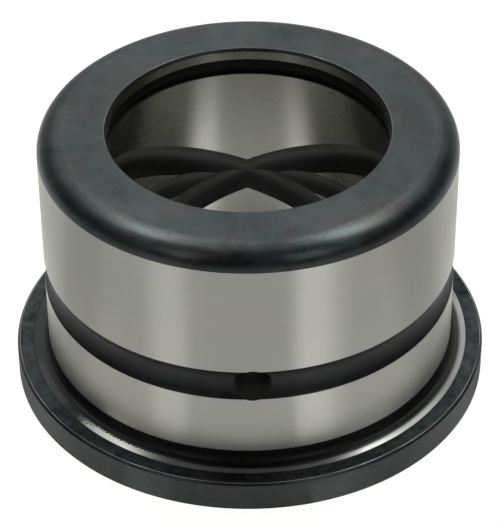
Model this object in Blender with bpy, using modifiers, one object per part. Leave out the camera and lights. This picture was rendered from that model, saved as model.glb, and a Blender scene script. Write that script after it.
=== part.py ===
"""Flanged pin bushing with a dust seal.

A hardened steel sleeve is turned in one piece with its flange.  A cross-drilled
oil hole joins the outer grease groove to the grooves in the bore, and a rubber
dust seal sits in a rectangular groove just inside the mouth.

Units are metres.  +Z runs along the bore from the flange's end face to the
mouth, the origin is the centre of that face, and the oil hole opens at -Y.
"""

import math

import bmesh
import bpy

MM = 0.001

# ---------------------------------------------------------------- dimensions
# Sleeve
BORE_R = 40.0 * MM
OUTER_R = 60.0 * MM
HEIGHT = 82.4 * MM            # overall, flange face to mouth face
RIM_FILLET = 6.0 * MM         # outer edge at the mouth end
MOUTH_CHAMFER_R = 0.8 * MM
MOUTH_CHAMFER_Z = 0.9 * MM
FOOT_CHAMFER = 1.2 * MM       # bore chamfer at the flange end

# Flange
FLANGE_R = 69.55 * MM
FLANGE_T = 9.3 * MM
FLANGE_CHAMFER = 0.65 * MM    # outer edge on the mouth side
FLANGE_FOOT_BREAK = 0.2 * MM  # outer edge at the end face

# Grinding relief where the sleeve meets the flange, and the ground shoulder
RELIEF_TOP_Z = 13.4 * MM
RELIEF_DEPTH = 0.5 * MM
RELIEF_RADIUS = 1.9 * MM
SHOULDER_OUTER_R = 64.7 * MM
SHOULDER_STEP = 0.12 * MM     # shoulder's depth below the flange's upper face

# Grease grooves, all of round section
GREASE_Z = 37.2 * MM          # level of the grooves and the oil hole
OUTER_GROOVE_W = 9.8 * MM
OUTER_GROOVE_D = 1.7 * MM
RING_GROOVE_W = 7.7 * MM      # level groove in the bore
RING_GROOVE_D = 1.4 * MM
CROSS_TOOL_R = 6.0 * MM       # section radius of the two crossing grooves
CROSS_GROOVE_D = 2.5 * MM
CROSS_LEAD = 17.1 * MM        # rise per radian of turn
CROSS_TURN = 0.995            # below 1, rounds the grooves' upper and lower turns

OIL_HOLE_R = 5.25 * MM
HOLE_OVERRUN = 5.0 * MM       # cutter's reach past each side of the wall

# Seal groove and the seal in it
SEAL_GROOVE_LOW = 73.9 * MM
SEAL_GROOVE_TOP = 78.8 * MM
SEAL_GROOVE_R = 42.5 * MM
BORE_BREAK = 0.25 * MM        # chamfer between the bore and the seal groove
SEAL_GAP = 0.3 * MM           # clearance above, below and outside the seal
SEAL_INNER_R = 40.9 * MM
SEAL_LIP_R = 40.35 * MM
LIP_FLAT_HALF = 0.35 * MM     # half the height of the lip's flat tip
LIP_ROOT_BELOW = 2.2 * LIP_FLAT_HALF  # lip's reach below mid height
LIP_ROOT_ABOVE = 3.0 * LIP_FLAT_HALF  # and above it

# Facets
BODY_STEPS = 72
SEAL_STEPS = 60
RIM_SEGMENTS = 6
RELIEF_SEGMENTS = 3
GROOVE_SEGMENTS = 4
CROSS_POINTS = 76
CROSS_BEVEL_RES = 3
HOLE_SIDES = 24

MERGE_DISTANCE = 0.01 * MM
SHARP_ANGLE = math.radians(30.0)  # edges sharper than this are not smoothed


# ------------------------------------------------------------ scene, materials
def clear_scene():
    for obj in list(bpy.data.objects):
        bpy.data.objects.remove(obj, do_unlink=True)


def new_collection(name):
    collection = bpy.data.collections.new(name)
    bpy.context.scene.collection.children.link(collection)
    return collection


def principled(name, color, roughness, metallic):
    material = bpy.data.materials.new(name)
    material.use_nodes = True
    shader = material.node_tree.nodes["Principled BSDF"]
    shader.inputs["Base Color"].default_value = (*color, 1.0)
    shader.inputs["Roughness"].default_value = roughness
    shader.inputs["Metallic"].default_value = metallic
    material.diffuse_color = (*color, 1.0)
    return material


def hardened_steel():
    return principled("hardened_steel", color=(0.30, 0.30, 0.29), roughness=0.34, metallic=1.0)


def seal_rubber():
    return principled("seal_rubber", color=(0.02, 0.02, 0.02), roughness=0.6, metallic=0.0)


# ------------------------------------------------------------- shape helpers
def arc(center, radius, start_deg, end_deg, segments):
    """Points (r, z) along an arc in the profile plane, both ends included."""
    center_r, center_z = center
    points = []
    for i in range(segments + 1):
        angle = math.radians(start_deg + (end_deg - start_deg) * i / segments)
        points.append((center_r + radius * math.cos(angle), center_z + radius * math.sin(angle)))
    return points


def round_groove(wall_r, width, depth, into):
    """Points (r, z), going up, of a round-bottomed groove in a wall at GREASE_Z.

    into is +1 where the steel lies at larger radii than the wall (a bore) and
    -1 where it lies at smaller radii (an outside diameter).
    """
    section_r = (width * width / 4.0 + depth * depth) / (2.0 * depth)
    half_angle = math.asin(width / 2.0 / section_r)
    center_r = wall_r - into * (section_r - depth)
    points = []
    for i in range(GROOVE_SEGMENTS + 1):
        angle = -half_angle + 2.0 * half_angle * i / GROOVE_SEGMENTS
        r = center_r + into * section_r * math.cos(angle)
        points.append((r, GREASE_Z + section_r * math.sin(angle)))
    return points


def turned(name, profile, steps, collection, material):
    """A closed profile in the XZ plane, turned about Z with a Screw modifier."""
    mesh = bpy.data.meshes.new(name)
    bm = bmesh.new()
    verts = [bm.verts.new((r, 0.0, z)) for r, z in profile]
    for i, vert in enumerate(verts):
        bm.edges.new((vert, verts[(i + 1) % len(verts)]))
    bm.to_mesh(mesh)
    bm.free()
    mesh.materials.append(material)
    obj = bpy.data.objects.new(name, mesh)
    collection.objects.link(obj)
    screw = obj.modifiers.new("Turn", "SCREW")
    screw.axis = "Z"
    screw.angle = math.tau
    screw.steps = steps
    screw.render_steps = steps
    screw.use_merge_vertices = True
    screw.merge_threshold = MERGE_DISTANCE
    screw.use_smooth_shade = True
    return obj


def as_cutter(obj):
    obj.hide_render = True
    obj.display_type = "WIRE"


def subtract(obj, cutter, name):
    cut = obj.modifiers.new(name, "BOOLEAN")
    cut.operation = "DIFFERENCE"
    cut.solver = "EXACT"
    cut.object = cutter


def evaluated_mesh(obj):
    """A new mesh of the object's final shape."""
    graph = bpy.context.evaluated_depsgraph_get()
    return bpy.data.meshes.new_from_object(obj.evaluated_get(graph))


def settle(obj):
    """Keep the modified shape as the object's mesh, smooth with sharp edges."""
    mesh = evaluated_mesh(obj)
    mesh.name = obj.name
    obj.modifiers.clear()
    obj.data = mesh
    mesh.shade_smooth()
    mesh.set_sharp_from_angle(angle=SHARP_ANGLE)


# ---------------------------------------------------------------------- body
def outside_profile():
    """Down the sleeve's outer side, from the mouth face to the relief's top."""
    rim_center = (OUTER_R - RIM_FILLET, HEIGHT - RIM_FILLET)
    groove = round_groove(OUTER_R, OUTER_GROOVE_W, OUTER_GROOVE_D, into=-1)
    return [
        *arc(rim_center, RIM_FILLET, 90.0, 0.0, RIM_SEGMENTS),
        *reversed(groove),
        (OUTER_R, RELIEF_TOP_Z),
    ]


def flange_profile():
    """Down the grinding relief, then out and round the flange to its end face."""
    # The relief is a short sloped step in, then a radius that lands on the shoulder.
    relief_r = OUTER_R - RELIEF_DEPTH
    shoulder_z = FLANGE_T - SHOULDER_STEP
    relief_center = (relief_r + RELIEF_RADIUS, shoulder_z + RELIEF_RADIUS)
    return [
        (relief_r, RELIEF_TOP_Z - RELIEF_DEPTH),
        *arc(relief_center, RELIEF_RADIUS, 180.0, 270.0, RELIEF_SEGMENTS),
        (SHOULDER_OUTER_R, shoulder_z),
        (SHOULDER_OUTER_R + SHOULDER_STEP, FLANGE_T),
        (FLANGE_R - FLANGE_CHAMFER, FLANGE_T),
        (FLANGE_R, FLANGE_T - FLANGE_CHAMFER),
        (FLANGE_R, FLANGE_FOOT_BREAK),
        (FLANGE_R - FLANGE_FOOT_BREAK, 0.0),
    ]


def bore_profile():
    """Up the bore, from the flange's end face to the mouth face."""
    return [
        (BORE_R + FOOT_CHAMFER, 0.0),
        (BORE_R, FOOT_CHAMFER),
        *round_groove(BORE_R, RING_GROOVE_W, RING_GROOVE_D, into=1),
        (BORE_R, SEAL_GROOVE_LOW - BORE_BREAK),
        (BORE_R + BORE_BREAK, SEAL_GROOVE_LOW),
        (SEAL_GROOVE_R, SEAL_GROOVE_LOW),
        (SEAL_GROOVE_R, SEAL_GROOVE_TOP),
        (BORE_R, SEAL_GROOVE_TOP),
        (BORE_R, HEIGHT - MOUTH_CHAMFER_Z),
    ]


def crossing_groove_cutter(name, hand, collection):
    """A round bar bent into a closed path that climbs and falls round the bore.

    The path is highest at +X and lowest at -X for hand +1, and the other way
    round for hand -1.  The two cross at +Y and -Y, level with the oil hole.
    """
    path_r = BORE_R - (CROSS_TOOL_R - CROSS_GROOVE_D)
    curve = bpy.data.curves.new(name, "CURVE")
    curve.dimensions = "3D"
    curve.bevel_depth = CROSS_TOOL_R
    curve.bevel_resolution = CROSS_BEVEL_RES
    spline = curve.splines.new("POLY")
    spline.points.add(CROSS_POINTS - 1)
    for i, point in enumerate(spline.points):
        # Half a step off the axes keeps the faces clear of the body's own facets.
        turn = math.tau * (i + 0.5) / CROSS_POINTS
        z = GREASE_Z + hand * CROSS_LEAD * math.asin(CROSS_TURN * math.sin(turn))
        point.co = (path_r * math.sin(turn), path_r * math.cos(turn), z, 1.0)
    spline.use_cyclic_u = True
    guide = bpy.data.objects.new(name + "_path", curve)
    collection.objects.link(guide)
    bpy.context.view_layer.update()
    mesh = evaluated_mesh(guide)
    mesh.name = name
    bpy.data.objects.remove(guide, do_unlink=True)

    # The Boolean needs a closed mesh whose normals all face out.
    bm = bmesh.new()
    bm.from_mesh(mesh)
    bmesh.ops.remove_doubles(bm, verts=bm.verts, dist=MERGE_DISTANCE)
    bmesh.ops.recalc_face_normals(bm, faces=bm.faces)
    bm.to_mesh(mesh)
    bm.free()
    cutter = bpy.data.objects.new(name, mesh)
    collection.objects.link(cutter)
    as_cutter(cutter)
    return cutter


def oil_hole_cutter(collection):
    """A radial cylinder at -Y, longer than the wall on both sides."""
    inner = BORE_R - HOLE_OVERRUN
    outer = OUTER_R + HOLE_OVERRUN
    bpy.ops.mesh.primitive_cylinder_add(
        vertices=HOLE_SIDES,
        radius=OIL_HOLE_R,
        depth=outer - inner,
        location=(0.0, -(inner + outer) / 2.0, GREASE_Z),
        rotation=(math.pi / 2.0, 0.0, 0.0),
    )
    cutter = bpy.context.active_object
    cutter.name = "oil_hole_cutter"
    for other in list(cutter.users_collection):
        other.objects.unlink(cutter)
    collection.objects.link(cutter)
    as_cutter(cutter)
    return cutter


def build_body(parts, cutters):
    mouth_edge = (BORE_R + MOUTH_CHAMFER_R, HEIGHT)
    profile = [mouth_edge, *outside_profile(), *flange_profile(), *bore_profile()]
    body = turned("bushing_body", profile, BODY_STEPS, parts, hardened_steel())
    for letter, hand in (("a", 1.0), ("b", -1.0)):
        cutter = crossing_groove_cutter(f"cross_groove_cutter_{letter}", hand, cutters)
        subtract(body, cutter, f"Cross groove {letter.upper()}")
    subtract(body, oil_hole_cutter(cutters), "Oil hole")
    settle(body)


# ---------------------------------------------------------------------- seal
def seal_profile():
    """A rectangular ring with a flat-tipped lip half way up its inner side."""
    low = SEAL_GROOVE_LOW + SEAL_GAP
    top = SEAL_GROOVE_TOP - SEAL_GAP
    outer = SEAL_GROOVE_R - SEAL_GAP
    middle = (low + top) / 2.0
    return [
        (SEAL_INNER_R, top),
        (outer, top),
        (outer, low),
        (SEAL_INNER_R, low),
        (SEAL_INNER_R, middle - LIP_ROOT_BELOW),
        (SEAL_LIP_R, middle - LIP_FLAT_HALF),
        (SEAL_LIP_R, middle + LIP_FLAT_HALF),
        (SEAL_INNER_R, middle + LIP_ROOT_ABOVE),
    ]


def build_seal(parts):
    seal = turned("dust_seal", seal_profile(), SEAL_STEPS, parts, seal_rubber())
    settle(seal)


def main():
    clear_scene()
    parts = new_collection("flanged_pin_bushing")
    cutters = new_collection("cutters")
    cutters.hide_render = True
    build_body(parts, cutters)
    build_seal(parts)


main()
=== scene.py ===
import math

import bpy
import numpy as np
from mathutils import Matrix, Vector
from mathutils.kdtree import KDTree


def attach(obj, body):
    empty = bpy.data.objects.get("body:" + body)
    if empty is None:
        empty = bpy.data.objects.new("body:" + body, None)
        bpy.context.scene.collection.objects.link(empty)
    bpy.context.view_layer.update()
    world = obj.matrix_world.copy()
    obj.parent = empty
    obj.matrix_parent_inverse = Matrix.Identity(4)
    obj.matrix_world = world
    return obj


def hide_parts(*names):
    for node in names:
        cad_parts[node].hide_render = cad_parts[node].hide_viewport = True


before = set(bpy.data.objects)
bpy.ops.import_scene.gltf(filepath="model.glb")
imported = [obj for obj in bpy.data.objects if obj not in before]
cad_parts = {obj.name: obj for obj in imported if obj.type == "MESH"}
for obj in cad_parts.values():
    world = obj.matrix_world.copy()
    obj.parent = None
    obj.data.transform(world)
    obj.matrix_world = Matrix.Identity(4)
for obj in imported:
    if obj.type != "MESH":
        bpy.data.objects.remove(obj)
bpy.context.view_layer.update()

MM = 0.001
TAU = math.tau

# =================================================================== dimensions
# Millimetres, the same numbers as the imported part.  +Z up the bore, oil hole at -Y.
BORE_R, OUTER_R, HEIGHT = 40.0, 60.0, 82.4
RIM_FILLET = 6.0
FLANGE_R, FLANGE_T = 69.55, 9.3
SHOULDER_Z = 9.18
GREASE_Z = 37.2
OUTER_GROOVE_W, OUTER_GROOVE_D = 9.8, 1.7
RING_GROOVE_W, RING_GROOVE_D = 7.7, 1.4
CROSS_TOOL_R, CROSS_D, CROSS_LEAD, CROSS_TURN = 6.0, 2.5, 17.1, 0.995
OIL_HOLE_R = 5.25
SEAL_LOW, SEAL_TOP, SEAL_R = 73.9, 78.8, 42.5

STEPS = 480           # facets round the body
CROSS_STEPS = 420     # facets along each crossing groove
BREAK = 0.09          # small edge breaks left by the grinding wheel and the hone

# regions of the body's surface; each one has its own finish
BLACK, OD, BORE, RING, DARK, GREASE, CUT_A, CUT_B, HOLE = range(9)


# ================================================================ turned profile
class Profile:
    """A closed (r, z) outline that knows the exact surface normal all along it.

    It runs out along the mouth face, down the outside, in along the flange face
    and up the bore, so the open side is always on the left."""

    def __init__(self, r, z):
        self.rows = []
        self.at = (r, z)

    def line(self, r, z, region):
        r0, z0 = self.at
        d = math.hypot(r - r0, z - z0)
        n = (-(z - z0) / d, (r - r0) / d)
        self.rows.append((r0, z0, r, z, n[0], n[1], n[0], n[1], region))
        self.at = (r, z)

    def arc(self, cr, cz, rad, a0, a1, count, region, hollow=False):
        s = -1.0 if hollow else 1.0
        for i in range(count):
            p = math.radians(a0 + (a1 - a0) * i / count)
            q = math.radians(a0 + (a1 - a0) * (i + 1) / count)
            r0, z0 = cr + rad * math.cos(p), cz + rad * math.sin(p)
            r1, z1 = cr + rad * math.cos(q), cz + rad * math.sin(q)
            if i == 0 and math.hypot(r0 - self.at[0], z0 - self.at[1]) > 1e-6:
                self.line(r0, z0, region)
            self.rows.append((r0, z0, r1, z1, s * math.cos(p), s * math.sin(p),
                              s * math.cos(q), s * math.sin(q), region))
            self.at = (r1, z1)

    def rim(self, r0, z0, r1, z1, power, count, region):
        """A rounded corner from (r0, z0) on the face to (r1, z1) on the side, as a
        quarter of a superellipse."""
        a, b = r1 - r0, z0 - z1
        pts = []
        for i in range(count + 1):
            t = 0.5 * math.pi * i / count
            u, v = math.sin(t) ** (2.0 / power), math.cos(t) ** (2.0 / power)
            nr, nz = (u ** (power - 1.0)) / a, (v ** (power - 1.0)) / b
            d = math.hypot(nr, nz)
            pts.append((r0 + a * u, z1 + b * v, nr / d, nz / d))
        self.line(pts[0][0], pts[0][1], region)
        for p, q in zip(pts, pts[1:]):
            self.rows.append((p[0], p[1], q[0], q[1], p[2], p[3], q[2], q[3], region))
            self.at = (q[0], q[1])

    def groove(self, wall_r, z_mid, width, depth, into, count, region, wall_region):
        """A round-bottomed groove across a straight wall, with broken edges."""
        tool = (width * width / 4.0 + depth * depth) / (2.0 * depth)
        half = math.asin(width / 2.0 / tool)
        trim = half - BREAK / tool / 1.2
        cr = wall_r - into * (tool - depth)
        z_a = z_mid - into * (width / 2.0 + BREAK * 0.7)
        z_b = z_mid + into * (width / 2.0 + BREAK * 0.7)
        self.line(wall_r, z_a, wall_region)
        pts = []
        for i in range(count + 1):
            a = -trim + 2.0 * trim * i / count
            pts.append((cr + into * tool * math.cos(a), z_mid + into * tool * math.sin(a), a))
        self.line(pts[0][0], pts[0][1], wall_region)
        for (r0, z0, a), (r1, z1, b) in zip(pts, pts[1:]):
            self.rows.append((r0, z0, r1, z1, -into * math.cos(a), -into * math.sin(a),
                              -into * math.cos(b), -into * math.sin(b), region))
            self.at = (r1, z1)
        self.line(wall_r, z_b, wall_region)


def body_profile():
    p = Profile(BORE_R, HEIGHT - 0.95)
    # mouth: a small lead chamfer with rounded corners, then the mouth face
    p.arc(BORE_R + 0.12, HEIGHT - 0.95, 0.12, 180.0, 138.0, 3, BORE)
    p.line(BORE_R + 0.64, HEIGHT - 0.17, DARK)
    p.arc(BORE_R + 0.80, HEIGHT - 0.20, 0.20, 138.0, 90.0, 5, BLACK)
    p.line(46.0, HEIGHT, BLACK)
    p.rim(52.3, HEIGHT, OUTER_R, HEIGHT - RIM_FILLET, 2.15, 30, BLACK)
    p.line(OUTER_R, HEIGHT - RIM_FILLET - 0.2, OD)
    for z in (68.0, 60.0, 52.0, 46.0):
        p.line(OUTER_R, z, OD)
    p.groove(OUTER_R, GREASE_Z, OUTER_GROOVE_W, OUTER_GROOVE_D, -1, 14, DARK, OD)
    for z in (28.0, 22.0, 17.0):
        p.line(OUTER_R, z, OD)
    # grinding relief, with a radius that lands on the ground shoulder
    p.line(OUTER_R, 13.5, OD)
    p.line(59.93, 13.36, OD)
    p.line(59.5, 12.9, DARK)
    p.line(59.5, 11.08, DARK)
    p.arc(61.4, 11.08, 1.9, 180.0, 270.0, 10, DARK, hollow=True)
    p.line(62.0, SHOULDER_Z, RING)
    p.line(64.6, SHOULDER_Z, RING)
    p.line(64.66, SHOULDER_Z + 0.02, RING)
    p.line(64.82, FLANGE_T, BLACK)
    # flange: face, chamfer with rounded corners, rim, foot
    p.line(66.8, FLANGE_T, BLACK)
    p.line(68.77, FLANGE_T, BLACK)
    p.arc(68.77, FLANGE_T - 0.25, 0.25, 90.0, 45.0, 4, BLACK)
    p.arc(FLANGE_R - 0.25, 8.53, 0.25, 45.0, 0.0, 4, BLACK)
    p.line(FLANGE_R, 4.5, BLACK)
    p.line(FLANGE_R, 0.18, BLACK)
    p.arc(FLANGE_R - 0.18, 0.18, 0.18, 0.0, -90.0, 4, BLACK)
    for r in (62.0, 52.0):
        p.line(r, 0.0, BLACK)
    p.line(41.3, 0.0, BLACK)
    p.arc(41.3, 0.2, 0.2, 270.0, 225.0, 2, BLACK)
    p.line(40.1, 1.12, BORE)
    p.arc(40.2, 1.3, 0.2, 210.0, 180.0, 2, BORE)
    for z in (8.0, 16.0, 24.0, 30.0):
        p.line(BORE_R, z, BORE)
    p.groove(BORE_R, GREASE_Z, RING_GROOVE_W, RING_GROOVE_D, 1, 12, GREASE, BORE)
    for z in (46.0, 54.0, 62.0, 70.0):
        p.line(BORE_R, z, BORE)
    p.line(BORE_R, SEAL_LOW - 0.26, BORE)
    p.arc(BORE_R + 0.22, SEAL_LOW - 0.22, 0.22, 180.0, 95.0, 4, DARK)
    p.line(BORE_R + 0.5, SEAL_LOW, DARK)
    p.line(41.6, SEAL_LOW, DARK)
    p.line(SEAL_R - 0.2, SEAL_LOW, DARK)
    p.arc(SEAL_R - 0.2, SEAL_LOW + 0.2, 0.2, 270.0, 360.0, 3, DARK, hollow=True)
    p.line(SEAL_R, SEAL_TOP - 0.2, DARK)
    p.arc(SEAL_R - 0.2, SEAL_TOP - 0.2, 0.2, 0.0, 90.0, 3, DARK, hollow=True)
    p.line(BORE_R + 0.1, SEAL_TOP, DARK)
    p.line(BORE_R, SEAL_TOP + 0.1, BORE)
    p.line(BORE_R, HEIGHT - 0.95, BORE)
    return p


def turned_mesh(name, rows, steps):
    """The profile turned about Z; the ring starts are the profile's own points."""
    pts = np.array([(row[0], row[1]) for row in rows]) * MM
    phi = np.arange(steps) * TAU / steps
    n = len(pts)
    verts = np.empty((n, steps, 3))
    verts[..., 0] = pts[:, 0, None] * np.cos(phi)
    verts[..., 1] = pts[:, 0, None] * np.sin(phi)
    verts[..., 2] = pts[:, 1, None]
    i, j = np.meshgrid(np.arange(n), np.arange(steps), indexing="ij")
    k, l = (i + 1) % n, (j + 1) % steps
    quads = np.stack([i * steps + j, k * steps + j, k * steps + l, i * steps + l], -1).reshape(-1, 4)
    mesh = bpy.data.meshes.new(name)
    mesh.from_pydata(verts.reshape(-1, 3).tolist(), [], quads.tolist())
    regions = np.repeat(np.array([row[8] for row in rows], dtype=np.int32), steps)
    mesh.polygons.foreach_set("material_index", regions)
    mesh.update()
    return mesh


# ================================================================= groove cutters
def cross_path(t, hand, radius):
    z = GREASE_Z + hand * CROSS_LEAD * np.arcsin(CROSS_TURN * np.sin(t))
    return np.stack([radius * np.sin(t), radius * np.cos(t), z], -1)


def cross_cutter(name, hand, region):
    """A round-nosed tool swept along the rising and falling path round the bore.

    Only the nose that enters the wall is modelled, with two flared lips that
    break the edges of the groove."""
    path_r = BORE_R - (CROSS_TOOL_R - CROSS_D)
    t = (np.arange(CROSS_STEPS) + 0.5) * TAU / CROSS_STEPS
    p = cross_path(t, hand, path_r)
    tangent = cross_path(t + 1e-4, hand, path_r) - cross_path(t - 1e-4, hand, path_r)
    tangent /= np.linalg.norm(tangent, axis=1)[:, None]
    radial = np.stack([np.sin(t), np.cos(t), np.zeros_like(t)], -1)
    side = np.cross(tangent, radial)
    half = math.acos((BORE_R - path_r - 0.30) / CROSS_TOOL_R)
    half = math.asin((CROSS_TOOL_R * math.sin(half) + 0.0) / CROSS_TOOL_R)
    section, kinds = [], []
    nose = 18
    edge = half - 0.035
    for i in range(nose + 1):
        a = -edge + 2 * edge * i / nose
        section.append((CROSS_TOOL_R * math.sin(a), CROSS_TOOL_R * math.cos(a)))
        kinds.append(region)
    x, y = section[-1]
    lip = (x + 0.95, y - 0.62)
    section.append(lip)
    section.append((lip[0], path_r * 0 + BORE_R - path_r - 1.6))
    section.append((-lip[0], BORE_R - path_r - 1.6))
    section.append((-lip[0], lip[1]))
    kinds[nose] = BORE
    kinds += [BORE, BORE, BORE, BORE]
    m = len(section)
    sec = np.array(section)
    verts = p[:, None, :] + side[:, None, :] * sec[None, :, 0, None] + radial[:, None, :] * sec[None, :, 1, None]
    i, j = np.meshgrid(np.arange(CROSS_STEPS), np.arange(m), indexing="ij")
    k, l = (i + 1) % CROSS_STEPS, (j + 1) % m
    quads = np.stack([i * m + j, k * m + j, k * m + l, i * m + l], -1).reshape(-1, 4)
    mesh = bpy.data.meshes.new(name)
    mesh.from_pydata((verts.reshape(-1, 3) * MM).tolist(), [], quads.tolist())
    mesh.polygons.foreach_set("material_index", np.tile(np.array(kinds, dtype=np.int32), CROSS_STEPS))
    mesh.update()
    outward(mesh)
    return mesh


def outward(mesh):
    """Turns a closed mesh's faces outward if its volume comes out negative."""
    co = np.empty(len(mesh.vertices) * 3)
    mesh.vertices.foreach_get("co", co)
    co = co.reshape(-1, 3)
    mesh.calc_loop_triangles()
    tri = np.empty(len(mesh.loop_triangles) * 3, dtype=np.int32)
    mesh.loop_triangles.foreach_get("vertices", tri)
    a, b, c = co[tri.reshape(-1, 3)].transpose(1, 0, 2)
    if np.einsum("ij,ij->i", a, np.cross(b, c)).sum() < 0:
        mesh.flip_normals()


def hole_cutter(name, region):
    sides = 72
    a = np.arange(sides) * TAU / sides
    rings = []
    for y, r in ((-36.0, OIL_HOLE_R), (-64.0, OIL_HOLE_R)):
        rings.append(np.stack([r * np.cos(a), np.full(sides, y), GREASE_Z + r * np.sin(a)], -1))
    verts = np.concatenate(rings) * MM
    quads = [[i, (i + 1) % sides, sides + (i + 1) % sides, sides + i] for i in range(sides)]
    caps = [list(range(sides))[::-1], list(range(sides, 2 * sides))]
    mesh = bpy.data.meshes.new(name)
    mesh.from_pydata(verts.tolist(), [], quads + caps)
    mesh.polygons.foreach_set("material_index", np.full(sides + 2, region, dtype=np.int32))
    mesh.update()
    outward(mesh)
    return mesh


def place(name, mesh, materials):
    obj = bpy.data.objects.new(name, mesh)
    for m in materials:
        mesh.materials.append(m)
    bpy.context.scene.collection.objects.link(obj)
    return obj


def cut(obj, cutters):
    for cutter in cutters:
        mod = obj.modifiers.new(cutter.name, "BOOLEAN")
        mod.operation = "DIFFERENCE"
        mod.solver = "EXACT"
        mod.material_mode = "INDEX"
        mod.object = cutter
    graph = bpy.context.evaluated_depsgraph_get()
    mesh = bpy.data.meshes.new_from_object(obj.evaluated_get(graph))
    obj.modifiers.clear()
    obj.data = mesh
    for cutter in cutters:
        bpy.data.objects.remove(cutter, do_unlink=True)
    return mesh


# ================================================================= exact normals
def read(items, name, width, dtype=np.float64):
    out = np.empty(len(items) * width, dtype=dtype)
    items.foreach_get(name, out)
    return out.reshape(-1, width) if width > 1 else out


def path_normals(points, hand):
    """From each point towards the nearest point of a crossing groove's path."""
    count = 2880
    t = np.arange(count) * TAU / count
    path = cross_path(t, hand, BORE_R - (CROSS_TOOL_R - CROSS_D))
    tree = KDTree(count)
    for i, p in enumerate(path):
        tree.insert(p, i)
    tree.balance()
    near = np.array([tree.find(p)[1] for p in points])
    best = None
    for a, b in ((near - 1, near), (near, (near + 1) % count)):
        seg = path[b] - path[a]
        u = np.clip(np.einsum("ij,ij->i", points - path[a], seg) / np.einsum("ij,ij->i", seg, seg), 0, 1)
        q = path[a] + seg * u[:, None]
        d = q - points
        if best is None:
            best = d
        else:
            swap = np.linalg.norm(d, axis=1) < np.linalg.norm(best, axis=1)
            best[swap] = d[swap]
    return best / np.linalg.norm(best, axis=1)[:, None]


def set_exact_normals(mesh, rows):
    """Gives every face corner the normal of the true surface, so that the fine
    facets and the cuts through them leave no trace in the reflections."""
    rows = np.array(rows, dtype=np.float64)
    co = read(mesh.vertices, "co", 3) / MM
    loop_vert = read(mesh.loops, "vertex_index", 1, np.int32)
    start = read(mesh.polygons, "loop_start", 1, np.int32)
    total = read(mesh.polygons, "loop_total", 1, np.int32)
    region = read(mesh.polygons, "material_index", 1, np.int32)
    centre = read(mesh.polygons, "center", 3) / MM
    flat = read(mesh.polygons, "normal", 3)
    poly = np.repeat(np.arange(len(total)), total)
    point = co[loop_vert]
    r = np.hypot(point[:, 0], point[:, 1])
    out = flat[poly].copy()

    # turned faces: find the profile row that each face lies on
    cr, cz = np.hypot(centre[:, 0], centre[:, 1]), centre[:, 2]
    best = np.full(len(total), 1e9)
    row_of = np.zeros(len(total), dtype=np.int32)
    for k, (r0, z0, r1, z1, *_rest) in enumerate(rows):
        dr, dz = r1 - r0, z1 - z0
        u = np.clip(((cr - r0) * dr + (cz - z0) * dz) / (dr * dr + dz * dz), 0, 1)
        d = np.hypot(cr - r0 - u * dr, cz - z0 - u * dz)
        closer = d < best
        best[closer] = d[closer]
        row_of[closer] = k
    is_turned = best < 0.02
    row = rows[row_of[poly]]
    dr, dz = row[:, 2] - row[:, 0], row[:, 3] - row[:, 1]
    u = np.clip(((r - row[:, 0]) * dr + (point[:, 2] - row[:, 1]) * dz) / (dr * dr + dz * dz), 0, 1)
    nr = row[:, 4] + u * (row[:, 6] - row[:, 4])
    nz = row[:, 5] + u * (row[:, 7] - row[:, 5])
    size = np.hypot(nr, nz)
    turned = np.stack([nr / size * point[:, 0] / r, nr / size * point[:, 1] / r, nz / size], -1)
    agree = np.einsum("ij,ij->i", turned, flat[poly]) > 0.94
    use = is_turned[poly] & agree & (region[poly] < CUT_A)
    out[use] = turned[use]

    for code, hand in ((CUT_A, 1.0), (CUT_B, -1.0)):
        sel = region[poly] == code
        if sel.any():
            n = path_normals(point[sel], hand)
            ok = np.einsum("ij,ij->i", n, flat[poly][sel]) > 0.9
            n[~ok] = flat[poly][sel][~ok]
            out[sel] = n
    sel = region[poly] == HOLE
    if sel.any():
        n = np.stack([-point[sel, 0], np.zeros(sel.sum()), GREASE_Z - point[sel, 2]], -1)
        out[sel] = n / np.linalg.norm(n, axis=1)[:, None]
    mesh.polygons.foreach_set("use_smooth", np.ones(len(total), dtype=bool))
    mesh.normals_split_custom_set(out.tolist())
    return is_turned


# ================================================================ material graphs
class Val:
    """A value in a material's graph, so that formulas read as formulas."""

    def __init__(self, graph, socket):
        self.g, self.s = graph, socket

    def __add__(self, o): return self.g.math("ADD", self, o)
    def __radd__(self, o): return self.g.math("ADD", o, self)
    def __sub__(self, o): return self.g.math("SUBTRACT", self, o)
    def __rsub__(self, o): return self.g.math("SUBTRACT", o, self)
    def __mul__(self, o): return self.g.math("MULTIPLY", self, o)
    def __rmul__(self, o): return self.g.math("MULTIPLY", o, self)
    def __truediv__(self, o): return self.g.math("DIVIDE", self, o)


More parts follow.
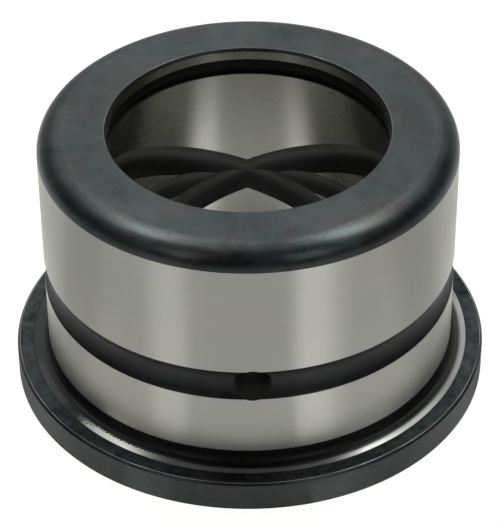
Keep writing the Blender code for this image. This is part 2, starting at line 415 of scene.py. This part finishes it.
class Graph:
    def __init__(self, owner):
        owner.use_nodes = True
        self.tree = owner.node_tree
        self.tree.nodes.clear()

    def new(self, kind, **settings):
        node = self.tree.nodes.new(kind)
        for key, value in settings.items():
            setattr(node, key, value)
        return node

    def put(self, value, socket):
        if isinstance(value, Val):
            self.tree.links.new(value.s, socket)
        elif isinstance(value, tuple) and socket.type == "RGBA" and len(value) == 3:
            socket.default_value = (*value, 1.0)
        else:
            socket.default_value = value

    def math(self, op, *args, clamp=False):
        node = self.new("ShaderNodeMath", operation=op, use_clamp=clamp)
        for i, a in enumerate(args):
            self.put(a, node.inputs[i])
        return Val(self, node.outputs[0])

    def smooth(self, x, lo, hi, a=0.0, b=1.0):
        """Eased step from a, where x is lo, to b, where x is hi."""
        node = self.new("ShaderNodeMapRange", interpolation_type="SMOOTHSTEP")
        for value, i in ((x, 0), (lo, 1), (hi, 2), (a, 3), (b, 4)):
            self.put(value, node.inputs[i])
        return Val(self, node.outputs[0])

    def band(self, x, lo, hi, soft):
        """1 between lo and hi, easing to 0 over soft on both sides."""
        return self.smooth(x, lo - soft, lo) * self.smooth(x, hi, hi + soft, 1.0, 0.0)

    def vec(self, x, y, z):
        node = self.new("ShaderNodeCombineXYZ")
        for i, a in enumerate((x, y, z)):
            self.put(a, node.inputs[i])
        return Val(self, node.outputs[0])

    def noise(self, v, scale=1.0, detail=2.0, rough=0.5, warp=0.0):
        node = self.new("ShaderNodeTexNoise", noise_dimensions="3D")
        self.put(v, node.inputs["Vector"])
        self.put(scale, node.inputs["Scale"])
        self.put(detail, node.inputs["Detail"])
        self.put(rough, node.inputs["Roughness"])
        self.put(warp, node.inputs["Distortion"])
        return Val(self, node.outputs["Fac"])

    def mix(self, f, a, b):
        node = self.new("ShaderNodeMix", data_type="RGBA")
        self.put(f, node.inputs[0])
        self.put(a, node.inputs[6])
        self.put(b, node.inputs[7])
        return Val(self, node.outputs[2])

    def blend(self, f, a, b):
        node = self.new("ShaderNodeMix", data_type="FLOAT")
        self.put(f, node.inputs[0])
        self.put(a, node.inputs[2])
        self.put(b, node.inputs[3])
        return Val(self, node.outputs[0])

    def tint(self, f, color):
        """color scaled by f."""
        node = self.new("ShaderNodeMix", data_type="RGBA", blend_type="MULTIPLY")
        node.inputs[0].default_value = 1.0
        self.put(color, node.inputs[6])
        grey = self.new("ShaderNodeCombineColor")
        for i in range(3):
            self.put(f, grey.inputs[i])
        self.put(Val(self, grey.outputs[0]), node.inputs[7])
        return Val(self, node.outputs[2])

    def turned_coords(self):
        """Millimetres and the direction round the axis: x, y, z, r, c, s, angle.
        c is 1 at the oil hole; the angle is 0 there and grows anticlockwise seen from below."""
        tex = self.new("ShaderNodeTexCoord")
        sep = self.new("ShaderNodeSeparateXYZ")
        self.tree.links.new(tex.outputs["Object"], sep.inputs[0])
        x, y, z = (Val(self, sep.outputs[i]) * 1000.0 for i in range(3))
        r = self.math("SQRT", x * x + y * y)
        c, s = y * -1.0 / r, x / r
        return x, y, z, r, c, s, self.math("ARCTAN2", x, y * -1.0)

    def bump(self, height, distance, strength=1.0, normal=None):
        node = self.new("ShaderNodeBump")
        node.inputs["Strength"].default_value = strength
        node.inputs["Distance"].default_value = distance
        self.put(height, node.inputs["Height"])
        if normal is not None:
            self.put(normal, node.inputs["Normal"])
        return Val(self, node.outputs[0])

    def principled(self, color, metallic, roughness, normal, ior=1.5, aniso=0.0, turn=0.25, specular=0.5, tint=None):
        bsdf = self.new("ShaderNodeBsdfPrincipled")
        self.put(color, bsdf.inputs["Base Color"])
        self.put(metallic, bsdf.inputs["Metallic"])
        self.put(roughness, bsdf.inputs["Roughness"])
        self.put(ior, bsdf.inputs["IOR"])
        self.put(specular, bsdf.inputs["Specular IOR Level"])
        if tint is not None:
            self.put(tint, bsdf.inputs["Specular Tint"])
        if normal is not None:
            self.put(normal, bsdf.inputs["Normal"])
        self.put(aniso, bsdf.inputs["Anisotropic"])
        self.put(turn, bsdf.inputs["Anisotropic Rotation"])
        tangent = self.new("ShaderNodeTangent", direction_type="RADIAL", axis="Z")
        self.tree.links.new(tangent.outputs[0], bsdf.inputs["Tangent"])
        out = self.new("ShaderNodeOutputMaterial")
        self.tree.links.new(bsdf.outputs[0], out.inputs[0])
        return bsdf


STEEL = (0.435, 0.437, 0.405)
OXIDE = (0.0042, 0.0054, 0.0062)


def ground_steel(name, base=STEEL, rough=0.30, aniso=0.84, edge=1.0, land=0.0, lines=1.0, seed=0.0):
    """Steel ground round the axis: fine broken lines, faint wheel bands, duller patches."""
    mat = bpy.data.materials.new(name)
    g = Graph(mat)
    x, y, z, r, c, s, _ = g.turned_coords()
    fine = g.noise(g.vec(c * 9.0, s * 9.0, z * 9.0 + seed), 1.0, 3.0, 0.65)
    mid = g.noise(g.vec(c * 3.0, s * 3.0, z * 2.2 + seed), 1.0, 3.0, 0.6)
    band = g.noise(g.vec(c * 1.1, s * 1.1, z * 0.32 + seed), 1.0, 2.0, 0.5)
    cloud = g.noise(g.vec(x * 0.06 + seed, y * 0.06, z * 0.05), 1.0, 3.0, 0.55)
    scratch = g.noise(g.vec(c * 26.0, s * 26.0, z * 30.0 + seed), 1.0, 1.0, 0.5)
    level = 1.0 + (fine - 0.5) * (0.16 * lines) + (mid - 0.5) * (0.12 * lines) + (band - 0.5) * 0.07 + (cloud - 0.5) * 0.20
    level = level - g.smooth(scratch, 0.66, 0.78) * (0.07 * lines)
    level = level * g.smooth(z, SEAL_LOW, SEAL_TOP, 1.0, 1.0 - land)
    warm = g.smooth(g.noise(g.vec(x * 0.035, y * 0.035, z * 0.05 + seed), 1.0, 2.0), 0.42, 0.62)
    color = g.tint(level, g.mix(warm, base, (base[0] * 1.0, base[1] * 0.992, base[2] * 0.955)))
    roughness = rough + (fine - 0.5) * (0.10 * lines) + (cloud - 0.5) * 0.08 + (band - 0.5) * 0.04
    height = fine * 0.9 + mid * 1.4 + scratch * 0.35
    normal = g.bump(height, 0.0000022 * lines)
    g.principled(color, 1.0, roughness, normal, aniso=aniso, tint=(edge, edge, edge))
    return mat


def black_oxide(name, base=OXIDE, rough=0.33, aniso=0.55, ior=1.6, wear_and_highlight_gain=1.0, marks=1.0, seed=0.0):
    """Blackened steel with turning marks under the finish, faint blotches,
    bright metal where the flange's corner has rubbed, and painted highlights on the mouth's edge and on a few ridges
    of the flange face."""
    mat = bpy.data.materials.new(name)
    g = Graph(mat)
    x, y, z, r, c, s, angle = g.turned_coords()
    v = z - r
    fine = g.noise(g.vec(c * 4.0, s * 4.0, v * 6.0 + seed), 1.0, 3.0, 0.6)
    turning = g.noise(g.vec(c * 0.8, s * 0.8, v * 3.1 + seed), 1.0, 2.0, 0.6)
    ridges = g.noise(g.vec(c * 1.6, s * 1.6, v * 2.2 + seed), 1.0, 3.0, 0.7)
    blotch = g.noise(g.vec(x * 0.07 + seed, y * 0.07, z * 0.07), 1.0, 4.0, 0.55, 0.4)
    patch = g.noise(g.vec(x * 0.24 + seed, y * 0.24, z * 0.24), 1.0, 3.0, 0.6, 0.8)
    grain = g.noise(g.vec(x * 1.6, y * 1.6, z * 1.6), 1.0, 3.0, 0.7)
    low = g.smooth(z, 10.0, 40.0, 1.0, 0.0)
    face = low * g.smooth(z, 9.15, 9.27)
    near_rim = g.band(r, 52.5, 55.0, 0.7) * g.smooth(z, 78.4, 80.4)
    # rubbed bright metal on the corner of the flange; painted highlights, as bright metal, on the outer edge of the
    # mouth chamfer (only on the side away from the oil hole) and on a few ridges of the flange face (only on a short
    # arc beside the oil hole)
    edge = g.band(r, 40.70, 40.92, 0.06) * g.smooth(z, 80.0, 81.0) * g.smooth(y, -24.0, 4.0)
    corner = g.band(r, 68.74, 68.98, 0.05) * face
    rings = g.smooth(g.noise(g.vec(c * 1.5, s * 1.5, r * 2.6 + seed), 1.0, 2.0, 0.6), 0.60, 0.72) * g.band(r, 65.6, 68.5, 0.3) * face
    # painted highlight: the ridges show only on a short arc beside the oil hole
    rings = rings * g.band(angle, 0.35, 1.0, 0.25)
    wear_and_highlight = g.math("MULTIPLY", edge * 0.42 + corner * 0.90 + rings * 0.30, g.smooth(fine, 0.34, 0.60), clamp=True)
    wear_and_highlight = g.math("ADD", wear_and_highlight * wear_and_highlight_gain, near_rim * g.smooth(ridges, 0.52, 0.62) * 0.05, clamp=True)
    speck = g.smooth(g.noise(g.vec(x * 0.9, y * 0.9, z * 0.9), 1.0, 2.0, 0.5), 0.735, 0.775) * 0.25
    level = 1.0 + (blotch - 0.5) * 2.4 + (patch - 0.5) * 1.2 + (grain - 0.5) * 0.8 + (turning - 0.5) * 0.6 + face * (patch - 0.5) * 1.5
    brown = g.smooth(g.noise(g.vec(x * 0.06, y * 0.06 + seed, z * 0.06), 1.0, 4.0, 0.6, 0.5), 0.44, 0.62)
    dark = g.mix(brown, base, (base[0] * 1.35, base[1] * 1.08, base[2] * 0.92))
    color = g.mix(g.math("MAXIMUM", wear_and_highlight, speck * 0.35), g.tint(level * (1.12 + face * 0.9), dark), (0.36, 0.37, 0.36))
    roughness = rough + low * 0.06 + (blotch - 0.5) * 0.22 + (patch - 0.5) * 0.10 + (grain - 0.5) * 0.12 + (fine - 0.5) * 0.10
    roughness = roughness - near_rim * (0.04 + (ridges - 0.5) * 0.35)
    height = fine * 0.8 + turning * 1.2 + grain * 0.7 + near_rim * ridges * 14.0 + face * ridges * 3.0
    normal = g.bump(height, 0.000004 * marks)
    shine = 0.41 - face * (0.17 - (patch - 0.5) * 0.4) + (blotch - 0.5) * 0.42 + (patch - 0.5) * 0.26 + (grain - 0.5) * 0.12
    shine = g.math("MAXIMUM", shine, 0.04)
    side_face = g.smooth(z, 8.6, 9.0, 1.0, 0.0)
    sheen = g.mix(brown, (0.81, 1.0, 0.99), (0.94, 0.99, 0.94))
    sheen = g.mix(side_face * 0.35, sheen, (1.0, 0.99, 0.93))
    g.principled(color, wear_and_highlight, roughness, normal, ior=ior, aniso=aniso, specular=shine, tint=sheen)
    return mat


def dark_cut(name, base=(0.0055, 0.0057, 0.0054), rough=0.40, spec=0.25, underside_painted_light=None, seed=3.0):
    """Grooves, relief and hole: blackened, a little duller, with tool marks along them, and, when a colour for it is
    given, painted light on the faces that look downward.
    """
    mat = bpy.data.materials.new(name)
    g = Graph(mat)
    x, y, z, r, c, s, angle = g.turned_coords()
    along = g.noise(g.vec(c * 5.0, s * 5.0, (z - r) * 2.4 + seed), 1.0, 3.0, 0.6)
    blotch = g.noise(g.vec(x * 0.16 + seed, y * 0.16, z * 0.16), 1.0, 4.0, 0.6, 0.6)
    grain = g.noise(g.vec(x * 2.2, y * 2.2, z * 2.2), 1.0, 3.0, 0.7)
    level = 1.0 + (blotch - 0.5) * 1.3 + (grain - 0.5) * 0.5
    # painted light: faces that look downward take the lighter colour
    if underside_painted_light:
        side = g.new("ShaderNodeNewGeometry")
        sep = g.new("ShaderNodeSeparateXYZ")
        g.tree.links.new(side.outputs["Normal"], sep.inputs[0])
        base = g.mix(g.smooth(Val(g, sep.outputs[2]) + (blotch - 0.5) * 0.3, 0.14, -0.30), base, underside_painted_light)
    color = g.tint(level, base)
    hole = g.smooth(g.math("SQRT", x * x + (z - GREASE_Z) * (z - GREASE_Z)), OIL_HOLE_R + 0.05, OIL_HOLE_R - 0.05)
    hole = hole * g.smooth(y, -40.0, -38.0, 1.0, 0.0)
    color = g.mix(hole, color, (0.10, 0.10, 0.095))
    roughness = rough + (blotch - 0.5) * 0.25 + (along - 0.5) * 0.12 + hole * 0.35
    normal = g.bump(along * 1.2 + grain * 0.9, 0.000006)
    shine = g.math("MAXIMUM", spec + (blotch - 0.5) * 0.15 - hole * 0.4, 0.02)
    shine = shine * g.smooth(z, 13.0, 15.0, 0.75, 1.0)
    g.principled(color, 0.0, roughness, normal, ior=1.55, aniso=0.3, specular=shine, tint=(0.95, 1.0, 1.0))
    return mat


def ground_ring(name, seed=7.0):
    """The ground shoulder beside the sleeve: bright, with a ragged inner edge where
    the wheel ran out, thin dark rings that it didn't clean up, and painted shade across its front."""
    mat = bpy.data.materials.new(name)
    g = Graph(mat)
    x, y, z, r, c, s, angle = g.turned_coords()
    fine = g.noise(g.vec(c * 12.0, s * 12.0, r * 9.0 + seed), 1.0, 3.0, 0.65)
    mid = g.noise(g.vec(c * 3.0, s * 3.0, r * 1.6 + seed), 1.0, 2.0, 0.5)
    comb = g.noise(g.vec(c * 120.0, s * 120.0, r * 0.5), 1.0, 2.0, 0.6)
    drift = g.noise(g.vec(c * 2.4 + 5.0, s * 2.4, 0.3), 1.0, 2.0, 0.5)
    cloud = g.noise(g.vec(x * 0.3, y * 0.3, 0.0), 1.0, 4.0, 0.6)
    left = g.smooth(angle, -0.42, -0.10, 1.0, 0.0)
    chatter = g.math("SINE", angle * 288.0 + r * 5.0)
    inner = 62.35 + ((comb - 0.5) * 1.0 + chatter * 0.26) * left + (drift - 0.5) * 0.5
    clean = g.smooth(r - inner, -0.10, g.blend(left, 1.15, 0.20)) * g.smooth(r, 64.52, 64.66, 1.0, 0.0)
    streak = g.noise(g.vec(c * 2.5, s * 2.5, r * 5.0 + seed), 1.0, 3.0, 0.6)
    # dull streaks the wheel left, plus painted shade: the front of the ring, on the oil hole's side, turns to oxide
    dull_and_painted_shade = g.smooth(streak + (fine - 0.5) * 0.4, 0.56, 0.72) * 0.30 + g.band(angle, -0.34, 0.26, 0.30) * 0.80
    # the wheel cleaned up less than half of the ring: it ran out on the left
    ragged = (g.noise(g.vec(x * 0.9, y * 0.9, 0.0), 1.0, 3.0, 0.7) - 0.5) * 0.5
    hit = g.smooth(angle + ragged * 0.5, -0.92, -0.76)
    stray = g.band(angle + ragged * 0.3, -1.30, -1.06, 0.10) * 0.05
    far = g.smooth(angle, 1.70, 1.95, 1.0, 0.0) * g.smooth(angle, 0.85, 1.10, 1.0, 0.50)
    hit = g.math("MAXIMUM", hit * far, stray)
    keep = g.math("MULTIPLY", clean * hit, 1.0 - dull_and_painted_shade, clamp=True)
    level = 1.0 + (fine - 0.5) * 0.16 + (streak - 0.5) * 0.34 + (cloud - 0.5) * 0.06
    steel = g.tint(level, g.mix(g.smooth(r, 62.0, 64.2), (0.92, 0.89, 0.74), (0.92, 0.93, 0.92)))
    color = g.mix(keep, OXIDE, steel)
    roughness = 0.37 + (fine - 0.5) * 0.10 + (cloud - 0.5) * 0.06
    normal = g.bump(fine * 1.0 + mid * 1.6, 0.0000022)
    g.principled(color, keep, roughness, normal, ior=1.5, aniso=0.95)
    return mat


def seal_rubber(name):
    mat = bpy.data.materials.new(name)
    g = Graph(mat)
    x, y, z, r, c, s, angle = g.turned_coords()
    grain = g.noise(g.vec(x * 2.0, y * 2.0, z * 2.0), 1.0, 4.0, 0.7)
    wipe = g.noise(g.vec(c * 5.0, s * 5.0, z * 7.0), 1.0, 2.0, 0.6)
    film = g.smooth(g.noise(g.vec(c * 3.0, s * 3.0, z * 0.7), 1.0, 3.0, 0.6), 0.45, 0.7)
    color = g.mix(film, (0.0085, 0.0085, 0.0080), (0.0125, 0.0122, 0.0115))
    roughness = 0.62 + (grain - 0.5) * 0.2 - film * 0.08
    normal = g.bump(grain * 1.0 + wipe * 1.0, 0.00001)
    g.principled(color, 0.0, roughness, normal, ior=1.5, specular=0.16)
    return mat


MAT_BLACK = black_oxide("black_oxide")
MAT_OD = ground_steel("ground_sleeve", seed=1.3)
MAT_BORE = ground_steel("ground_bore", base=(0.47, 0.47, 0.44), rough=0.28, aniso=0.84, edge=0.02, land=0.30, lines=0.5, seed=11.7)
MAT_RING = ground_ring("ground_shoulder")
MAT_DARK = dark_cut("blackened_cuts")
# the grease grooves get painted light on their downward-facing walls
MAT_GREASE = dark_cut("blackened_grease_grooves", base=(0.0115, 0.0115, 0.0108), rough=0.46, spec=0.36, underside_painted_light=(0.095, 0.094, 0.087), seed=8.0)
MAT_SEAL = seal_rubber("seal_rubber_black")

# ======================================================================= the body
profile = body_profile()
slots = [MAT_BLACK, MAT_OD, MAT_BORE, MAT_RING, MAT_DARK, MAT_GREASE, MAT_GREASE, MAT_GREASE, MAT_DARK]
body = place("steel_body", turned_mesh("steel_body", profile.rows, STEPS), slots)
cutters = [
    place("groove_tool_a", cross_cutter("groove_tool_a", 1.0, CUT_A), slots),
    place("groove_tool_b", cross_cutter("groove_tool_b", -1.0, CUT_B), slots),
    place("oil_hole_tool", hole_cutter("oil_hole_tool", HOLE), slots),
]
mesh = cut(body, cutters)
mesh.name = "steel_body"
set_exact_normals(mesh, profile.rows)
index = read(mesh.polygons, "material_index", 1, np.int32)
slot_of = np.array([BLACK, OD, BORE, RING, DARK, GREASE, GREASE, GREASE, DARK], dtype=np.int32)
mesh.polygons.foreach_set("material_index", slot_of[index])
while len(mesh.materials) > GREASE + 1:
    mesh.materials.pop(index=len(mesh.materials) - 1)
mesh.update()
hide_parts("bushing_body")
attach(body, "root")

# ======================================================================= the seal
sp = Profile(41.05, SEAL_TOP - 0.32)
sp.line(42.10, SEAL_TOP - 0.32, 0)
sp.arc(42.08, SEAL_TOP - 0.44, 0.12, 90.0, 0.0, 3, 0)
sp.line(42.20, SEAL_LOW + 0.44, 0)
sp.arc(42.08, SEAL_LOW + 0.44, 0.12, 0.0, -90.0, 3, 0)
sp.line(41.15, SEAL_LOW + 0.32, 0)
sp.arc(41.15, SEAL_LOW + 0.52, 0.20, 270.0, 180.0, 4, 0)
sp.line(40.95, 75.45, 0)
sp.line(40.50, 75.98, 0)
sp.arc(40.66, 76.30, 0.30, 205.0, 135.0, 6, 0)
sp.line(40.90, 77.25, 0)
sp.line(40.90, SEAL_TOP - 0.50, 0)
sp.arc(41.08, SEAL_TOP - 0.50, 0.18, 180.0, 90.0, 4, 0)
seal = place("rubber_dust_seal", turned_mesh("rubber_dust_seal", sp.rows, 288), [MAT_SEAL])
set_exact_normals(seal.data, sp.rows)
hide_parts("dust_seal")
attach(seal, "root")

# ====================================================================== the studio
VIEW_TURN = math.radians(0.65)   # the hole points this far off the camera

bpy.ops.mesh.primitive_plane_add(size=6.0, location=(0.0, 0.0, -0.0002))
floor = bpy.context.active_object
floor.name = "floor"
fmat = bpy.data.materials.new("floor_white")
g = Graph(fmat)
geo = g.new("ShaderNodeTexCoord")
sep = g.new("ShaderNodeSeparateXYZ")
g.tree.links.new(geo.outputs["Object"], sep.inputs[0])
fx, fy = Val(g, sep.outputs[0]), Val(g, sep.outputs[1])
dist = g.math("SQRT", fx * fx + fy * fy)
lamp = g.new("ShaderNodeEmission")
ray = g.new("ShaderNodeLightPath")
seen = Val(g, ray.outputs["Is Camera Ray"])
px = fx * math.cos(VIEW_TURN) - fy * math.sin(VIEW_TURN)
py = fy * math.cos(VIEW_TURN) + fx * math.sin(VIEW_TURN)
side = g.math("ABSOLUTE", g.math("ARCTAN2", px, py * -1.0)) * (180.0 / math.pi)


def past(degrees, soft, radius=OUTER_R):
    """1 on the floor beyond the line that the sleeve shows at this angle round it;
    a negative radius gives the line that the bore's far wall shows."""
    a = math.radians(degrees)
    off = px * math.cos(2 * a) + py * math.sin(2 * a) + radius * MM * math.sin(a)
    return g.smooth(off, -soft * MM, soft * MM)


# two lit strips of floor, which the sleeve shows as upright stripes
fade = (past(21.5, 2.0) + past(23.5, 2.0) + past(27.0, 3.0)) / 3.0
strips = past(12.6, 1.0) * (1.0 - fade) * 0.46 + past(-27.6, 1.3) * (1.0 - past(-17.6, 0.9)) * 0.30
# painted light and shade in the floor's glow: a brighter and a darker ring round the body, and a painted shadow beside
# the flange at the sides
near = 0.63 + g.band(dist, 0.080, 0.104, 0.010) * 0.13 - g.band(dist, 0.112, 0.134, 0.018) * 0.12
near = near * (1.0 - g.band(side, 76.0, 90.0, 12.0) * 0.20 + g.smooth(side, 92.0, 124.0) * 0.27)
shade = 1.0 - g.smooth(side, 55.0, 100.0) * g.smooth(dist, 0.0705, 0.080, 0.70, 0.0)
outer = g.blend(g.smooth(dist, 0.30, 1.10), near * shade, 0.15) + strips
# painted light and shade in the floor's glow inside the bore: dark at the back, with bright crescents where light
# through the mouth would fall
bottom = g.smooth(py, -0.006, 0.014, 0.60, 0.04)
bottom = bottom * (0.10 + past(-26.0, 6.0, -BORE_R) * (1.0 - past(26.0, 6.0, -BORE_R)) * 0.86)
bottom = bottom + past(13.8, 0.8, -BORE_R) * (1.0 - past(24.6, 1.2, -BORE_R)) * 1.28
bottom = bottom + past(-28.0, 1.2, -BORE_R) * (1.0 - past(-17.8, 0.8, -BORE_R)) * 1.12
glow = g.blend(g.smooth(dist, 0.040, 0.060), bottom, outer)
g.put(g.math("MAXIMUM", glow, seen * 0.97), lamp.inputs["Strength"])
lamp.inputs["Color"].default_value = (1.0, 1.0, 0.985, 1.0)
matte = g.new("ShaderNodeBsdfDiffuse")
matte.inputs["Color"].default_value = (0.10, 0.10, 0.10, 1.0)
both = g.new("ShaderNodeAddShader")
g.tree.links.new(lamp.outputs[0], both.inputs[0])
g.tree.links.new(matte.outputs[0], both.inputs[1])
out = g.new("ShaderNodeOutputMaterial")
g.tree.links.new(both.outputs[0], out.inputs[0])
floor.data.materials.append(fmat)

world = bpy.data.worlds.new("studio")
bpy.context.scene.world = world
g = Graph(world)
tex = g.new("ShaderNodeTexCoord")
sep = g.new("ShaderNodeSeparateXYZ")
g.tree.links.new(tex.outputs["Generated"], sep.inputs[0])
wx, wy, wz = (Val(g, sep.outputs[i]) for i in range(3))
lift = math.radians(52.0)
overhead = g.smooth(wy * math.cos(lift) + wz * math.sin(lift), 0.71, 0.99)
low = g.smooth(wz, 0.0, 0.30, 0.12, 0.02)
back = g.smooth(wy, 0.30, 0.80) * g.smooth(wz, 0.20, 0.42, 1.0, 0.0)
sky = overhead * 1.16 + low + back * 0.35
ray = g.new("ShaderNodeLightPath")
seen = Val(g, ray.outputs["Is Camera Ray"])
back = g.new("ShaderNodeBackground")
g.put(g.math("MAXIMUM", sky, seen * 1.0), back.inputs["Strength"])
back.inputs["Color"].default_value = (1.0, 1.0, 1.0, 1.0)
out = g.new("ShaderNodeOutputWorld")
g.tree.links.new(back.outputs[0], out.inputs[0])

def toward(azimuth, elevation, distance):
    """A point seen from the object; azimuth 0 is the camera's side, positive to its right."""
    a, e = math.radians(azimuth) - VIEW_TURN, math.radians(elevation)
    return (distance * math.sin(a) * math.cos(e), -distance * math.cos(a) * math.cos(e), distance * math.sin(e))


def softbox(name, corners, lo, hi, strength, top):
    """A glowing four-cornered panel that only reflections and shading see; its
    strength changes from the height lo to the height hi."""
    mesh = bpy.data.meshes.new(name)
    mesh.from_pydata([toward(*c) for c in corners], [], [(0, 1, 2, 3)])
    mat = bpy.data.materials.new(name)
    g = Graph(mat)
    emit = g.new("ShaderNodeEmission")
    tex = g.new("ShaderNodeTexCoord")
    sep = g.new("ShaderNodeSeparateXYZ")
    g.tree.links.new(tex.outputs["Object"], sep.inputs[0])
    g.put(g.smooth(Val(g, sep.outputs[2]), lo, hi, strength, top), emit.inputs["Strength"])
    emit.inputs["Color"].default_value = (1.0, 1.0, 1.0, 1.0)
    out = g.new("ShaderNodeOutputMaterial")
    g.tree.links.new(emit.outputs[0], out.inputs[0])
    mesh.materials.append(mat)
    obj = bpy.data.objects.new(name, mesh)
    bpy.context.scene.collection.objects.link(obj)
    obj.visible_camera = False
    return obj


# on each side a low upright panel, and a long one that leans over to high at the back
softbox("softbox_right_low", [(25, 26, 1.2), (44, 26, 1.2), (44, 58, 1.2), (25, 58, 1.2)], 0.1, 0.5, 3.0, 2.4)
softbox("softbox_left_low", [(-48, 26, 1.2), (-30.5, 26, 1.2), (-30.5, 58, 1.2), (-48, 58, 1.2)], 0.1, 0.5, 2.2, 1.9)
softbox("softbox_right", [(36, 26, 1.2), (57, 22, 1.2), (110, 55, 1.0), (155, 66, 1.0)], 0.785, 0.93, 0.34, 38.0)
softbox("softbox_left", [(-60, 22, 1.2), (-39, 26, 1.2), (-155, 66, 1.0), (-112, 55, 1.0)], 0.785, 0.93, 0.32, 42.0)
softbox("softbox_back_right", [(146, 50, 1.0), (169, 50, 1.0), (171, 62, 1.0), (146, 64, 1.0)], 0.0, 0.1, 4.2, 4.2)
softbox("softbox_back_left", [(-169, 50, 1.0), (-146, 50, 1.0), (-146, 64, 1.0), (-171, 62, 1.0)], 0.0, 0.1, 4.0, 4.0)

# ====================================================================== the camera
cam = bpy.data.cameras.new("camera")
camera = bpy.data.objects.new("camera", cam)
bpy.context.scene.collection.objects.link(camera)
cam.sensor_width = 36.0
cam.lens = 170.57
cam.shift_x = 0.0015
cam.shift_y = -0.00125
cam.clip_start, cam.clip_end = 0.05, 20.0
tilt = math.radians(37.769)
basis = Matrix((
    (1.0, 0.0, 0.0, 0.0),
    (0.0, math.sin(tilt), -math.cos(tilt), -0.58216),
    (0.0, math.cos(tilt), math.sin(tilt), 0.48448),
    (0.0, 0.0, 0.0, 1.0),
))
camera.matrix_world = (
    Matrix.Rotation(-VIEW_TURN, 4, "Z") @ basis @ Matrix.Rotation(math.radians(-0.517), 4, "Z")
)
scene = bpy.context.scene
scene.camera = camera
scene.view_settings.view_transform = "Standard"
scene.view_settings.look = "None"
